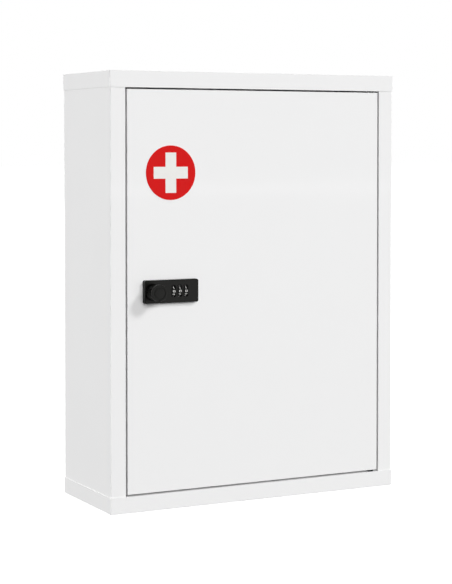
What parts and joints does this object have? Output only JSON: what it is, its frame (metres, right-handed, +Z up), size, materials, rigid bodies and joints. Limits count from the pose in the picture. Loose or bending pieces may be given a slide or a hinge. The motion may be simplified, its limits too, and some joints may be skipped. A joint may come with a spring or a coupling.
{
  "type": "lockable medicine cabinet",
  "caption": "Wall cabinet for medicines: folded white sheet steel, hinged inset door, combination lock with a turning knob, shelves on slotted rails, red disc with a white cross.",
  "frame": {"origin": "centre of the flat underside of the carcass (the carcass is 400 wide and 150 deep; the lock stands out in front of it)", "axes": "+X to the right seen from the front, +Y to the rear (the wall), +Z up; the door faces -Y"},
  "size_m": [0.4, 0.1762, 0.535],
  "materials": {
    "white_steel": "smooth semi-gloss white powder coat on sheet steel",
    "zinc_steel": "bright zinc plating",
    "nylon": "natural nylon",
    "rubber": "soft black rubber",
    "red_print": "glossy red enamel",
    "white_print": "glossy white enamel",
    "black_plastic": "fine-grained black plastic",
    "wheel_plastic": "black plastic with white numbers",
    "cast_zinc": "die-cast zinc, as cast",
    "spring_steel": "bright spring strip"
  },
  "bodies": {
    "cabinet": {"top_cap": "white_steel", "bottom_cap": "white_steel", "upper_frame_rail": "white_steel", "lower_frame_rail": "white_steel", "left_side_panel": "white_steel", "right_side_panel": "white_steel", "back_panel": "white_steel", "back_rivets": "zinc_steel", "frame_rivets": "zinc_steel", "door_stops": "white_steel", "door_bumpers": "rubber", "strike_plate": "zinc_steel", "left_front_rail": "white_steel", "left_rear_rail": "white_steel", "right_front_rail": "white_steel", "right_rear_rail": "white_steel", "lower_shelf": "white_steel", "lower_shelf_clips": "zinc_steel", "upper_shelf": "white_steel", "upper_shelf_clips": "zinc_steel", "lower_hinge_bush": "nylon", "upper_hinge_bush": "nylon"},
    "door": {"door_panel": "white_steel", "door_stiffener": "white_steel", "lower_hinge_block": "zinc_steel", "upper_hinge_block": "zinc_steel", "lower_hinge_pin": "zinc_steel", "upper_hinge_pin": "zinc_steel", "hinge_thrust_washer": "nylon", "hinge_block_screws": "zinc_steel", "emblem_disc": "red_print", "emblem_cross": "white_print", "lock_housing": "black_plastic", "lock_chassis": "cast_zinc", "lock_fixing_screws": "zinc_steel", "wheel_axle": "zinc_steel", "detent_spring": "spring_steel"},
    "knob": {"lock_knob": "black_plastic", "knob_spindle": "zinc_steel", "spindle_ring": "zinc_steel", "lock_cam": "zinc_steel", "cam_washer": "zinc_steel", "cam_screw": "zinc_steel"},
    "locking_slide": {"locking_slide": "zinc_steel"},
    "left_wheel": {"left_number_wheel": "wheel_plastic"},
    "middle_wheel": {"middle_number_wheel": "wheel_plastic"},
    "right_wheel": {"right_number_wheel": "wheel_plastic"}
  },
  "joints": [
    {"name": "door_hinge", "type": "hinge", "parent": "cabinet", "child": "door", "pos_m": [0.1695, -0.0697, 0.2675], "axis": [0, 0, 1], "range_deg": [0, 110]},
    {"name": "knob_turn", "type": "hinge", "parent": "door", "child": "knob", "pos_m": [-0.147, -0.0812, 0.2675], "axis": [0, 1, 0], "range_deg": [0, 90]},
    {"name": "slide_travel", "type": "slide", "parent": "door", "child": "locking_slide", "axis": [-1, 0, 0], "range_m": [0, 0.0013]},
    {"name": "left_wheel_spin", "type": "hinge", "parent": "door", "child": "left_wheel", "pos_m": [-0.11865, -0.0752, 0.2675], "axis": [1, 0, 0], "continuous": true},
    {"name": "middle_wheel_spin", "type": "hinge", "parent": "door", "child": "middle_wheel", "pos_m": [-0.1104, -0.0752, 0.2675], "axis": [1, 0, 0], "continuous": true},
    {"name": "right_wheel_spin", "type": "hinge", "parent": "door", "child": "right_wheel", "pos_m": [-0.10215, -0.0752, 0.2675], "axis": [1, 0, 0], "continuous": true}
  ],
  "couplings": [
    {"joint": "slide_travel", "follows": "knob_turn", "m_per_rad": 0.000827}
  ]
}
